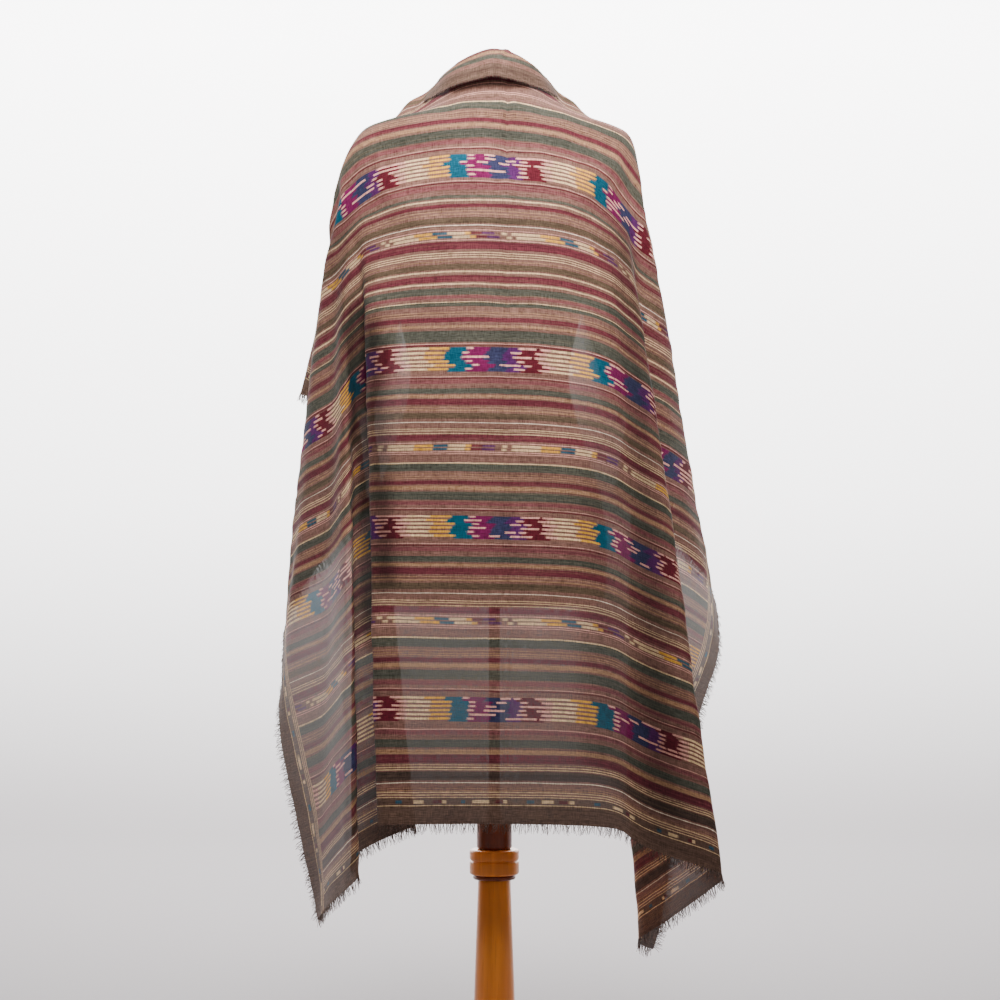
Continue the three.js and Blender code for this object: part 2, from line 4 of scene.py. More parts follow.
import bpy
import numpy as np
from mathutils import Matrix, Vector


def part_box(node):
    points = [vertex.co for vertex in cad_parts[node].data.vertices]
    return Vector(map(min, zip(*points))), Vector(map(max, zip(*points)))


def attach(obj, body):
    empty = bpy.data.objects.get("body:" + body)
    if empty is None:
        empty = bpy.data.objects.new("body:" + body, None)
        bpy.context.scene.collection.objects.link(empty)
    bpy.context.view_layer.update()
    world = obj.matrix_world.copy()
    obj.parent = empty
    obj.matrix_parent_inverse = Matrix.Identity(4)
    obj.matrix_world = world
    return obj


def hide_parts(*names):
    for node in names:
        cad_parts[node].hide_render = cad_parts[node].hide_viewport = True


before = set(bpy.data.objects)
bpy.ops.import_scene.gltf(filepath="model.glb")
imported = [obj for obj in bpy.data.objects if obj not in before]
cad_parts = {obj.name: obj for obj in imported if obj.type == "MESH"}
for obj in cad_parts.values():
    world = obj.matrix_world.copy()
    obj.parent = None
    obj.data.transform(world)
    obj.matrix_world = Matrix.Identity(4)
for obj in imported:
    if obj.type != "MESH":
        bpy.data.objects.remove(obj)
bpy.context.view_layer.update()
MM = 0.001

# ---- the cloth's sizes, in millimetres ----------------------------------------------------
WIDE, LONG = 1200, 1175
CELLS_WIDE, CELLS_LONG = 60, 40
ACROSS, DOWN = CELLS_WIDE + 1, CELLS_LONG + 1
CELL_WIDE, CELL_LONG = WIDE / CELLS_WIDE, LONG / CELLS_LONG
FINE_WIDE, FINE_LONG = 5, 7  # fine cells in each cell of the drape's net
CLEAR, FINE_CLEAR = 5, 3.2  # gap between the form and the cloth, on the net and the fine grid
FORM_X = -7  # the form leans a little to the left of the post
SWELL, SWELL_RUN = 26, 46  # how far the cloth rounds out over a shoulder, in what length of it
PLEAT_RUN = 180  # length of cloth below a shoulder in which the pleats open out
NECK_LIFT, LIFT_RUN = 50, 150  # how far the neck holds the cloth up, and how soon that fades
ROUNDS = 160  # times that the whole net is drawn to length
HOLD, COLLAR_HOLD = 0.035, 0.3  # how firmly each point stays near its first guess
COLLAR_LONG, COLLAR_WIDE = 100, 140  # the collar's part of the cloth: down, and to each side


def columns(names, rows):
    """A short table as one array for each of its named columns."""
    return dict(zip(names.split(), np.array(rows, float).T))


# The form, a row for each section: height, half width, half depths behind and before.
FORM = columns("z wide back front", [
    (716, 158, 104, 100),
    (726, 166, 110, 106),
    (760, 170, 116, 110),
    (811, 170, 120, 110),
    (880, 160, 114, 104),
    (960, 134, 98, 94),
    (1045, 115, 88, 90),
    (1120, 128, 98, 106),
    (1190, 148, 108, 122),
    (1240, 160, 113, 122),
    (1290, 176, 112, 108),
    (1330, 189, 102, 92),
    (1358, 191, 88, 76),
    (1376, 183, 78, 66),
    (1392, 158, 70, 60),
    (1410, 124, 63, 56),
    (1428, 86, 58, 53),
    (1444, 66, 55, 51),
    (1462, 59, 53, 50),
    (1484, 57, 52, 49),
    (1492, 52, 47, 44),
])

# Shoulder points that the pleats fan out from, with their place on the cloth.
LEFT = {"side": -1, "at": (-205, -6, 1372), "s": 208, "t": 165}
RIGHT = {"side": 1, "at": (191, -6, 1370), "s": 200, "t": 130}

FRONT_FROM, FRONT_TO = 112, 130  # angles between which a fan's pleats give way to the front

# Fold lines of each fan, a row for each: angle on the cloth from straight down towards its side
# edge, drift out and forward in mm a metre of cloth, the way round the shoulder that the line
# leaves by, the share of it that lies straight, and how far its cloth is held up.
FAN = "angle out forward way lean lift"
LEFT["folds"] = columns(FAN, [
    (-2, -38, -108, -90, 1, 46),  # back ridge
    (2.3, -92, -62, -84, 1, 44),  # hidden valley
    (9, -10, -20, -76, 1, 22),  # second valley
    (13.4, -19, -90, -68, 1, -4),  # the flap's front fold
    (17, 18, -26, -60, 1, -10),  # flap
    (21, 35, 43, -50, 1, -16),  # lower corner
    (28, 108, 112, -35, 1, -8),  # outline
    (35, 112, 196, -20, 1, 0),  # outline, upper
    (50, -80, 120, -5, 1, 0),  # front valley
    (66, 112, 292, 15, 1, 0),  # front ridge
    (82, -75, 268, 35, 1, 0),  # inner valley
    (98, 245, 392, 55, 1, 0),  # side corner fold
    (113, -98, 350, 75, 1, 0),  # top corner
    (130, -311, 261, 90, 0.78, 0),  # chest
    (150, -505, 263, 90, 0.51, 0),  # collarbone
    (180, -679, 206, 90, -0.19, 0),  # neck side
])
RIGHT["folds"] = columns(FAN, [
    (0, 8, -104, -90, 1, 44),  # back panel
    (8.2, 114, -112, -80, 1, 8),  # back ridge
    (19.2, -24, 26, -65, 1, -18),  # hidden valley
    (21.2, 8, 42, -60, 1, -24),  # lower corner
    (29.4, 112, 118, -46, 1, -4),  # side edge, low
    (34, 150, 178, -36, 1, 0),  # side edge
    (39.4, 150, 244, -24, 1, 0),  # outline
    (55, -70, 150, -4, 1, 0),  # front valley
    (70, 135, 318, 18, 1, 0),  # front ridge
    (85, -75, 296, 40, 1, 0),  # inner valley
    (99, 130, 392, 58, 1, 0),  # side corner fold
    (110, -110, 360, 75, 1, 0),  # top corner
    (130, -470, 332, 90, 0.84, 0),  # chest
    (150, -693, 333, 90, 0.66, 0),  # collarbone
    (180, -861, 262, 90, -0.8, 0),  # neck side
])

# Middle of the back panel: how far behind the post at each height on the cloth.
BACK_MIDDLE = columns("t y", [
    (190, -96), (260, -116), (360, -124), (500, -128), (800, -134), (1200, -142),
])

# The yoke, a row for each place along the top edge: the edge (e), the line on which the collar
# turns over or the cloth crosses the shoulder (f), and the line where it leaves the neck (n).
YOKE = columns("s ex ey ez ft fx fy fz nt nx ny nz", [
    (0, 0, -86, 1467, 55, 0, -62, 1509, 112, 0, -72, 1458),
    (46, 43, -70, 1459, 53, 42, -46, 1500, 108, 46, -58, 1455),
    (80, 70, -50, 1449, 44, 63, -26, 1482, 90, 72, -38, 1446),
    (100, 84, -36, 1441, 38, 74, -14, 1468, 80, 90, -24, 1437),
    (120, 98, -24, 1442, 28, 88, -6, 1454, 74, 108, -14, 1425),
    (150, 98, 8, 1434, 28, 108, -6, 1432, 84, 130, -22, 1414),
    (178, 94, 32, 1416, 42, 116, 8, 1419, 96, 150, -20, 1402),
    (208, 87, 55, 1395, 60, 135, 30, 1400, 108, 173, 4, 1391),
])

# The net's links, a row for each kind: steps across and down, how hard it pulls and pushes.
LINKS = (
    (1, 0, 1, 0.06),
    (0, 1, 1, 0.06),
    (1, 1, 0.4, 0.02),
    (-1, 1, 0.4, 0.02),
    (2, 0, 0.3, 0.06),
    (0, 2, 0.3, 0.06),
)

# Creases pressed or drawn into the cloth, a row for each: both ends on the cloth (s across, t
# down), how wide and how deep; a ridge has a negative depth.
CREASES = columns("s1 t1 s2 t2 wide deep", [
    (22, 150, 20, 470, 30, 7),  # trough down the middle of the back
    (20, 470, 8, 1000, 26, 5),
    (21, 90, 14, 1175, 4.2, 4.6),  # sharp crease of its stored fold, in the same place
    (-62, 560, -84, 1175, 60, -6),  # broad rolls of the lower back
    (84, 620, 118, 1175, 60, -7),
    (160, 700, 205, 1175, 45, 6),
    (-196, 230, -120, 470, 26, 3),  # drag folds below the shoulders
    (-200, 210, -60, 360, 20, -2.5),
    (196, 200, 130, 430, 26, 3),
    (198, 180, 70, 330, 20, -2.5),
    (-70, 140, -20, 230, 16, 2.5),
    (75, 140, 40, 240, 16, 2.5),
    (-60, 44, 70, 34, 4, 2.2),  # wrinkles of the collar
    (-50, 60, 40, 70, 4, 2.4),
    (-20, 20, 80, 26, 3.5, 1.6),
    (10, 30, 26, 74, 4, 2.6),
    (-600, 587, 600, 587, 5, 1.3),  # the other stored fold, straight across
])

# Painted shade: where the cloth hangs deep in a fold, lies over more layers of itself or turns
# to the side, its colour is painted darker, a row for each: both ends on the cloth, how wide,
# and the share of its light that is painted away.
PAINTED_SHADES = columns("s1 t1 s2 t2 wide deep", [
    (-182, 440, -156, 860, 21, 0.68),  # valley beside the left flap
    (-236, 400, -284, 900, 30, 0.72),  # and the strip next to it
    (206, 230, 246, 1170, 44, 0.54),  # right side, over the flap and the front
    (-240, 230, -262, 620, 48, 0.36),  # left side
    (150, 600, 160, 1100, 34, 0.14),
    (-128, 540, -122, 680, 32, 0.06),  # before the pleats at the waist
    (142, 540, 152, 800, 36, 0.06),
])
LEAST_LIT = 0.26  # share of its light that the deepest painted shade keeps


# ---- the drape ----------------------------------------------------------------------------
def hermite(f, start, end, leave, arrive):
    """Cubic with the given ends and end slopes, f running from 0 to 1."""
    f2, f3 = f * f, f * f * f
    return (2 * f3 - 3 * f2 + 1) * start + (f3 - 2 * f2 + f) * leave + (
        3 * f2 - 2 * f3) * end + (f3 - f2) * arrive


def along(table, by, column, place, slack=0.5):
    """A column's value at a place, on a smooth curve through the table's rows."""
    rows, values = table[by], table[column]
    last = len(rows) - 1
    at = np.clip(place, rows[0], rows[last])
    i = np.clip(np.searchsorted(rows, at, side="left") - 1, 0, last - 1)
    before, after = np.maximum(i - 1, 0), np.minimum(i + 2, last)
    span = rows[i + 1] - rows[i]
    leave = slack * span * (values[i + 1] - values[before]) / (rows[i + 1] - rows[before])
    arrive = slack * span * (values[after] - values[i]) / (rows[after] - rows[i])
    return hermite((at - rows[i]) / span, values[i], values[i + 1], leave, arrive)


def smooth(f):
    """Eases from 0 to 1: 3f^2 - 2f^3."""
    f = np.clip(f, 0, 1)
    return f * f * (3 - 2 * f)


def fan_point(shoulder, distance, angle):
    """A fan's point: a swell round the shoulder, then out and forward with the cloth's length,
    the rest of the length hanging down."""
    folds = shoulder["folds"]
    out, forward, way, lean, lift = (
        along(folds, "angle", name, angle) for name in FAN.split()[1:])
    swell = SWELL * (1 - np.exp(-distance / SWELL_RUN))
    leaves = np.clip((angle - FRONT_FROM) / (FRONT_TO - FRONT_FROM), 0, 1)
    run = distance * (smooth(distance / PLEAT_RUN) * (1 - leaves) + leaves) * MM
    dx = swell * np.cos(np.radians(way)) + out * run
    dy = swell * np.sin(np.radians(way)) + forward * run
    spare = np.sqrt(np.maximum(distance**2 - dx**2 - dy**2, (0.2 * distance) ** 2))
    rise = lift * (1 - np.exp(-distance / LIFT_RUN))
    x, y, z = shoulder["at"]
    return np.stack([x + shoulder["side"] * dx, y + dy, z - lean * spare + rise], -1)


def back_point(s, t):
    """The back panel: between the fans' first lines, with a belly behind and a rise at the neck."""
    ray = np.radians(LEFT["folds"]["angle"][0])
    down = np.maximum(t - LEFT["t"], 0)
    left_s = -LEFT["s"] - down * np.tan(ray)
    across = np.clip((s - left_s) / (RIGHT["s"] - left_s), 0, 1)
    left = fan_point(LEFT, down / np.cos(ray), np.full_like(s, np.degrees(ray)))
    right = fan_point(RIGHT, down, np.zeros_like(s))
    arch = np.sin(np.pi * across)
    lag = along(BACK_MIDDLE, "t", "y", t) - (left[..., 1] + right[..., 1]) / 2
    rise = NECK_LIFT * np.exp(-down / LIFT_RUN) * arch**0.7
    place = left + (right - left) * across[..., None]
    place[..., 1] += lag * arch**0.8
    place[..., 2] += rise
    return place


def yoke_point(shoulder, s, t):
    """The yoke: a smooth curve from the top edge over the turn and the neck to the back panel."""
    at = np.abs(s)
    meet = LEFT["t"] + (shoulder["t"] - LEFT["t"]) * smooth(at / 150)
    end = back_point(s, meet)

    def station(letter):
        """One of the yoke's three lines at these places."""
        x, y, z = (along(YOKE, "s", letter + axis, at) for axis in "xyz")
        return np.stack([FORM_X + shoulder["side"] * x, y, z], -1)

    turn_t, neck_t = along(YOKE, "s", "ft", at), along(YOKE, "s", "nt", at)
    ts = np.stack([np.zeros_like(t), turn_t, neck_t, np.maximum(meet, neck_t + 20)])
    points = np.stack([station("e"), station("f"), station("n"), end])
    t = np.clip(t, ts[0], ts[3])
    i = (t > ts[1]).astype(int) + (t > ts[2])
    before, after = np.maximum(i - 1, 0), np.minimum(i + 2, 3)
    n = np.arange(len(t))
    span = (ts[i + 1, n] - ts[i, n])[:, None]
    leave = points[i + 1, n] - points[before, n]
    leave *= 0.8 * span / (ts[i + 1, n] - ts[before, n])[:, None]
    arrive = points[after, n] - points[i, n]
    arrive *= 0.8 * span / (ts[after, n] - ts[i, n])[:, None]
    f = (t - ts[i, n])[:, None] / span
    return hermite(f, points[i, n], points[i + 1, n], leave, arrive)


def first_guess(s, t):
    """Where each point of the cloth hangs before its lengths are evened out."""
    place = np.zeros((len(s), 3))
    for shoulder, half in ((LEFT, s < 0), (RIGHT, s >= 0)):
        beside, below = np.abs(s) - shoulder["s"], t - shoulder["t"]
        angle = np.degrees(np.arctan2(beside, below))
        fan = (beside >= 0) | ((below > 0) & (angle >= shoulder["folds"]["angle"][0]))
        here = half & fan
        place[here] = fan_point(shoulder, np.hypot(beside, below)[here], angle[here])
        here = half & ~fan & (below >= 0)
        place[here] = back_point(s[here], t[here])
        here = half & ~fan & (below < 0)
        place[here] = yoke_point(shoulder, s[here], t[here])
    return place


def form_level(p):
    """How far out of the form points are, as a share of the section's size."""
    wide = along(FORM, "z", "wide", p[:, 2], 1)
    back, front = (along(FORM, "z", name, p[:, 2], 1) for name in ("back", "front"))
    return np.hypot((p[:, 0] - FORM_X) / wide, p[:, 1] / np.where(p[:, 1] < 0, back, front)) - 1


def clear_of_form(points, gap):
    """Moves points nearer to the form than the gap straight out of it."""
    level = form_level(points)
    z = points[:, 2]
    near = np.flatnonzero((level <= 0.3) & (z <= FORM["z"][-1] + CLEAR) & (z >= FORM["z"][0]))
    here = points[near]
    slope = np.stack([
        (form_level(here + step) - form_level(here - step)) / 2 for step in np.eye(3)], -1)
    steep = np.linalg.norm(slope, axis=1) + 1e-9
    short = np.maximum(gap - level[near] / steep, 0)
    points[near] += slope * (short / steep)[:, None]


def link_ends(across, down):
    """Both ends of every link of one kind, in two turns so that no two share a point."""
    j, i = np.mgrid[0:DOWN - down, 0:ACROSS]
    lane = j // down if down else i // across
    fits = (i + across >= 0) & (i + across < ACROSS)
    for turn in (0, 1):
        here = fits & (lane % 2 == turn)
        a = (j * ACROSS + i)[here]
        yield a, a + down * ACROSS + across


def drape():
    """The first guess, drawn to the cloth's own lengths and kept clear of the form."""
    t, s = np.mgrid[0:DOWN, 0:ACROSS].astype(float)
    t, s = (t * CELL_LONG).ravel(), (s * CELL_WIDE - WIDE / 2).ravel()
    start = first_guess(s, t)
    collar = (t < COLLAR_LONG) & (np.abs(s) < COLLAR_WIDE)
    hold = np.where(collar, COLLAR_HOLD, HOLD)[:, None]
    turns = [
        (a, b, np.hypot(across * CELL_WIDE, down * CELL_LONG), pull, push)
        for across, down, pull, push in LINKS for a, b in link_ends(across, down)]
    points = start.copy()
    for _ in range(ROUNDS):
        points += hold * (start - points)
        for a, b, rest, pull, push in turns:
            gap = points[b] - points[a]
            length = np.linalg.norm(gap, axis=1, keepdims=True) + 1e-9
            share = 0.5 * np.where(length > rest, pull, push) * (length - rest) / length
            points[a] += gap * share
            points[b] -= gap * share
        clear_of_form(points, CLEAR)
    return points.reshape(DOWN, ACROSS, 3)


def finer(count, fine):
    """Weights that carry a line of points to one with fine steps: a soft cubic (Mitchell's), with
    the line run on straight past its ends."""
    places = np.arange((count - 1) * fine + 1) / fine
    x = np.abs(places[:, None] - np.arange(-2, count + 2)[None, :])
    near = (21 * x**3 - 36 * x**2 + 16) / 18
    far = (-7 * x**3 + 36 * x**2 - 60 * x + 32) / 18
    full = np.where(x < 1, near, np.where(x < 2, far, 0))
    weights = full[:, 2:-2].copy()
    for ghost, first, second in ((1, 0, 1), (0, 0, 1), (-2, -1, -2), (-1, -1, -2)):
        reach = 2 if ghost in (0, -1) else 1
        weights[:, first] += (1 + reach) * full[:, ghost]
        weights[:, second] -= reach * full[:, ghost]
    return weights


def unit(vectors):
    """Vectors at a length of one."""
    return vectors / (np.linalg.norm(vectors, axis=-1, keepdims=True) + 1e-9)


def outward(points):
    """Unit normals of a grid of points, facing away from the form."""
    down, right = np.gradient(points, axis=0), np.gradient(points, axis=1)
    return unit(np.cross(down, right))


def depth_of(lines, s, t):
    """How deep lines on the cloth are, or how much light a painted shade takes: each a bell across
    its line, fading in and out along it.
    """
    depth = np.zeros_like(s)
    for s1, t1, s2, t2, wide, deep in zip(*lines.values()):
        length = np.hypot(s2 - s1, t2 - t1)
        run = ((s - s1) * (s2 - s1) + (t - t1) * (t2 - t1)) / length**2
        off = ((s - s1) * (t2 - t1) - (t - t1) * (s2 - s1)) / length
        ends = smooth(run / 0.12 + 0.3) * smooth((1 - run) / 0.12 + 0.3)
        depth += deep * np.exp(-((off / wide) ** 2)) * ends
    return depth


def ripple(s, t):
    """Faint unevenness of hand-woven cloth: four slow waves that cross each other."""
    return (
        0.7 * np.sin(s / 31 + 1.9 * np.sin(t / 140)) * np.sin(t / 210 + 0.4)
        + 0.5 * np.sin(t / 23 + 1.3 * np.sin(s / 90) + s / 160)
        + 0.4 * np.sin((s + t) / 17 + 2 * np.sin(s / 61))
        + 0.3 * np.sin((s - 1.4 * t) / 12 + 1.5 * np.sin(t / 47)))


# Where layers of cloth are stacked up or hang lower, a row for each: middle of the bell, how far
# it moves the cloth, and how wide the bell is.
BULK = columns("x y z dx dy dz wide", [
    (196, -6, 1392, 22, 0, 20, 62),  # right shoulder
    (-196, -6, 1388, -6, 0, 16, 62),  # left shoulder
    (110, -10, 1432, 0, 0, 10, 60),
    (-120, -10, 1425, 0, 0, 6, 60),
    (4, -50, 1500, 6, 0, 10, 70),  # round the neck
    (70, -30, 1462, 8, 0, 4, 40),
    (-76, -30, 1462, -2, 0, 4, 40),
    (-250, 20, 300, 0, 0, -22, 190),  # left flap's corner
    (200, 20, 240, 26, 0, -22, 170),  # right flap's corner
    (310, 120, 690, 16, 0, -26, 110),  # right side's free corner
])


def bulk(points):
    """Moves points by each row's bell: exp(-(distance/wide)^2) of its move."""
    before = points.copy()
    for x, y, z, dx, dy, dz, wide in zip(*BULK.values()):
        away = before - np.array([x, y, z])
        bell = np.exp(-(away**2).sum(1) / wide**2)
        points += bell[:, None] * np.array([dx, dy, dz])


def cloth_surface():
    """The cloth's fine grid of points, and each point's place on the flat cloth, in mm."""
    coarse = drape()
    weights_down, weights_wide = finer(DOWN, FINE_LONG), finer(ACROSS, FINE_WIDE)
    points = np.einsum("aj,bi,jik->abk", weights_down, weights_wide, coarse)
    t, s = np.meshgrid(
        np.linspace(0, LONG, len(weights_down)),
        np.linspace(-WIDE / 2, WIDE / 2, len(weights_wide)), indexing="ij")
    points -= outward(points) * (depth_of(CREASES, s, t) + ripple(s, t))[..., None]
    flat = points.reshape(-1, 3)
    bulk(flat)
    clear_of_form(flat, FINE_CLEAR)
    return flat.reshape(points.shape), s, t


# ---- meshes -------------------------------------------------------------------------------
def grid_faces(rows, columns_, closed=False):
    """Four-cornered faces of a grid of points, closed round its columns where asked."""
    wide = columns_ if closed else columns_ - 1
    j, i = np.mgrid[0:rows - 1, 0:wide]
    a, b = j * columns_ + i, j * columns_ + (i + 1) % columns_
    return np.stack([a, a + columns_, b + columns_, b], -1).reshape(-1, 4)


def add_piece(name, points, faces, material, replaced):
    """A smooth mesh in the row frame that rides on the part and stands for CAD nodes."""
    mesh = bpy.data.meshes.new(name)
    mesh.from_pydata((points * MM).tolist(), [], faces)
    mesh.polygons.foreach_set("use_smooth", np.ones(len(mesh.polygons), bool))
    mesh.materials.append(material)
    piece = bpy.data.objects.new(name, mesh)
    bpy.context.scene.collection.objects.link(piece)
    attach(piece, "root")
    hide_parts(*replaced)
    return piece


def set_uv(mesh, u, v):
    """A UV map that gives each point its place on the flat cloth."""
    corner = np.zeros(len(mesh.loops), int)
    mesh.loops.foreach_get("vertex_index", corner)
    layer = mesh.uv_layers.new(name="cloth")
    layer.data.foreach_set("uv", np.stack([u.ravel()[corner], v.ravel()[corner]], -1).ravel())


# ---- materials ----------------------------------------------------------------------------
def dye(red, green, blue):
    """A colour as it looks, 0 to 255, as the light it gives back."""
    share = np.array([red, green, blue]) / 255
    light = np.where(share <= 0.04045, share / 12.92, ((share + 0.055) / 1.055) ** 2.4)
    return (*light.tolist(), 1)


DYES = {
    "ground": dye(124, 87, 76),
    "brown": dye(94, 72, 60),
    "dark brown": dye(56, 44, 38),
    "rose": dye(122, 64, 68),
    "maroon": dye(98, 26, 44),
    "dark red": dye(88, 20, 34),
    "grey-green": dye(64, 72, 62),
    "olive": dye(82, 68, 50),
    "tan": dye(168, 126, 92),
    "pink": dye(222, 160, 144),
    "cream": dye(230, 194, 146),
    "white": dye(246, 226, 198),
    "yellow": dye(226, 164, 56),
    "teal": dye(0, 78, 98),
    "magenta": dye(110, 18, 72),
    "purple": dye(80, 30, 86),
    "slate": dye(46, 50, 80),
    "warp": dye(116, 90, 82),
}


def as_node(operation):
    """A method that makes one node of its object and any other numbers."""
    def made(first, *others):
        """The new node's output."""
        return first.nodes.math(operation, first, *others)
    return made


class Output:
    """A node's output; each sign in a sum of it makes one more node."""

    def __init__(self, nodes, socket):
        self.nodes, self.socket = nodes, socket

    def __rsub__(self, other):
        return self * -1.0 + other

    __add__, __sub__, __mul__ = as_node("ADD"), as_node("SUBTRACT"), as_node("MULTIPLY")
    __truediv__, __abs__ = as_node("DIVIDE"), as_node("ABSOLUTE")
    __gt__, __lt__ = as_node("GREATER_THAN"), as_node("LESS_THAN")
    at_least, floor, fract = as_node("MAXIMUM"), as_node("FLOOR"), as_node("FRACT")


RAMP_ROWS = 12  # stripes in one colour ramp


class Nodes:
    """The nodes of one material."""

    def __init__(self, name):
        self.material = bpy.data.materials.new(name)
        self.material.use_nodes = True
        self.tree = self.material.node_tree

    def put(self, socket, value):
        """Links an output to a socket, or sets the socket's own value."""
        if isinstance(value, Output):
            self.tree.links.new(value.socket, socket)
        else:
            socket.default_value = value

    def node(self, kind, inputs=(), out=0, **settings):
        """A node with its settings and inputs; gives one of its outputs."""
        made = self.tree.nodes.new("ShaderNode" + kind)
        for key, value in settings.items():
            setattr(made, key, value)
        for socket, value in dict(inputs).items():
            self.put(made.inputs[socket], value)
        return Output(self, made.outputs[out])

    def finish(self, inputs):
        """Sets the shader's inputs by their names, and gives the material."""
        for name, value in inputs.items():
            self.put(self.tree.nodes["Principled BSDF"].inputs[name], value)
        return self.material

    def math(self, operation, *values):
        """One operation on numbers."""
        return self.node("Math", enumerate(values), operation=operation)

    def ranged(self, place, low, high, first, last):
        """A place's way from low to high, as the same way from first to last."""
        return self.node("MapRange", {0: place, 1: low, 2: high, 3: first, 4: last})

    def split(self, vector):
        """A vector's three numbers."""
        return [self.node("SeparateXYZ", {0: vector}, out=k) for k in range(3)]

    def join(self, x, y, z=0.0):
        """Three numbers as a vector."""
        return self.node("CombineXYZ", enumerate((x, y, z)))

    def mix(self, share, low, high, blend="MIX"):
        """Two colours mixed by a share."""
        inputs = {0: share, 6: low, 7: high}
        return self.node("Mix", inputs, out=2, data_type="RGBA", blend_type=blend)

    def noise(self, vector, scale, detail=2.0):
        """Soft noise from 0 to 1."""
        return self.node("TexNoise", {"Vector": vector, "Scale": scale, "Detail": detail})

    def chance(self, x, y):
        """An even chance from 0 to 1, the same all over each cell of whole numbers."""
        return self.node("TexWhiteNoise", {"Vector": self.join(x, y)}, noise_dimensions="2D")

    def between(self, place, low, high):
        """1 where the place lies between two values, and 0 elsewhere."""
        return (place > low) * (place < high)

    def ramp(self, place, stops, interpolation="LINEAR"):
        """Colours along a place from 0 to 1."""
        made = self.node("ValToRGB", {0: place})
        colours = made.socket.node.color_ramp
        colours.interpolation = interpolation
        ends = colours.elements
        ends.remove(ends[1])
        ends[0].position, ends[0].color = stops[0]
        for position, colour in stops[1:]:
            ends.new(position).color = colour
        return made

    def stripes(self, place, span, rows):
        """Stripes across a place in mm, a row for each: from, to and dye. Each ramp holds a few
        rows, and each later ramp takes over where its own rows start."""
        share = place / span
        colour = None
        for k in range(0, len(rows), RAMP_ROWS):
            group = rows[k:k + RAMP_ROWS]
            stops = [(0.0, DYES["ground"])]
            for low, high, name in group:
                stops += [(low / span, DYES[name]), (high / span, DYES["ground"])]
            made = self.ramp(share, stops, "CONSTANT")
            here = place > group[0][0] - 0.01
            colour = made if colour is None else self.mix(here, colour, made)
        return colour

    def pattern(self, place, period, rows, blur):
        """Colours that repeat along a place, a row for each: where it starts in mm and its dye,
        each change of colour spread over a blur as in cloth dyed before it is woven."""
        turn = (place / period).fract()
        stops = [(0.0, DYES[rows[0][1]])]
        for (_, last), (start, name) in zip(rows, rows[1:]):
            stops += [((start - blur) / period, DYES[last]), (start / period, DYES[name])]
        stops += [(1 - blur / period, DYES[rows[-1][1]]), (1.0, DYES[rows[0][1]])]
        return self.ramp(turn, stops)


REPEAT = 260  # the stripes' repeat down the cloth, from one wide band's middle to the next
# Where the stripes' repeats come on the cloth, hand-woven uneven: each wide band's middle, and
# the narrow band between.
WEAVING = columns("t repeat", [
    (-19, 0), (241, 1), (522, 2), (646, 2.514), (758, 3), (891, 3.514), (1016, 4), (1276, 5),
])
BAND_HALF = 17.6  # half a wide band
LAST_BAND = 4.0  # the repeat below which the hem has its own stripes
STRIPES = (
    (23.9, 24.9, "pink"), (25.4, 27.6, "dark red"), (29.3, 35.5, "rose"),
    (42, 50.7, "grey-green"), (52, 56.4, "tan"), (58.5, 67.9, "maroon"),
    (70.7, 72.1, "tan"), (75, 76.4, "tan"), (79.3, 89.3, "olive"),
    (94.1, 95.1, "white"), (103.9, 105.1, "cream"), (107.4, 108.6, "cream"),
    (110.9, 112, "cream"), (112.9, 122.1, "maroon"), (143.1, 144.2, "pink"),
    (157.4, 158.5, "cream"), (159.3, 170.7, "grey-green"), (175.3, 176.4, "tan"),
    (178.9, 180, "tan"), (182.3, 183.4, "tan"), (186.4, 192.1, "maroon"),
    (195, 200.7, "tan"), (203.6, 216.4, "grey-green"), (219, 225, "rose"),
    (230.3, 231.3, "pink"), (231.8, 233.8, "dark red"),
)
# The second repeat from the top is longer and its narrow band comes early.
TOP_REPEAT, TOP_NARROW_MIDDLE = 281, 102.5
TOP_STRIPES = (
    (22.8, 23.8, "pink"), (24.3, 26.4, "dark red"), (28, 36.1, "rose"), (43, 48, "grey-green"),
    (50.4, 52, "cream"), (56, 62, "maroon"), (66.3, 67.5, "tan"), (70.5, 71.7, "tan"),
    (76, 85, "olive"), (87.7, 88.8, "white"), (111.5, 122, "maroon"), (126.8, 127.9, "cream"),
    (130.1, 131.1, "cream"), (133.3, 134.3, "cream"), (139.2, 140.2, "tan"), (143, 151, "olive"),
    (153.4, 154.8, "cream"), (160, 168.5, "maroon"), (171, 172.6, "cream"),
    (177, 187, "grey-green"), (188, 192.7, "rose"), (196.9, 197.9, "cream"),
    (198.6, 204, "grey-green"), (210.8, 212.1, "tan"), (214.7, 215.9, "tan"),
    (219, 225.6, "maroon"), (229.5, 233, "tan"), (238, 254, "grey-green"), (256.3, 257.3, "pink"),
    (257.8, 260.4, "dark red"),
)
HEM_RUN = 160
HEM_STRIPES = (
    (27.3, 28.3, "pink"), (29.1, 35.2, "rose"), (42, 53, "grey-green"), (56, 62, "tan"),
    (63, 74, "maroon"), (76.3, 77.5, "cream"), (79.7, 80.9, "cream"), (83.1, 84.3, "cream"),
    (86, 98.7, "dark brown"), (101.1, 102.1, "white"), (108.9, 109.9, "tan"),
    (112.3, 113.3, "tan"), (115.9, 116.9, "tan"),
)
# The border on all four sides, as distance from the edge.
BORDER = (
    (0, 25.2, "brown"), (25.2, 26.4, "cream"), (26.4, 36, "brown"), (36.4, 37.5, "cream"),
    (39.8, 40.9, "cream"), (43.2, 44.3, "cream"),
)
BORDER_WIDE, BORDER_RUN, COLLAR_BORDER = 45, 60, 17
SIDE_BROWN = 25  # how wide the plain brown is along the side edges
DASH_ROW = (28.8, 33.2)
DASHES = (
    (0, "brown"), (16, "teal"), (27, "brown"), (42, "cream"), (58, "brown"), (66, "dark red"),
    (74, "cream"), (80, "brown"),
)
DASH_PERIOD, DASH_DRIFT, DASH_BLUR = 94, 60, 2
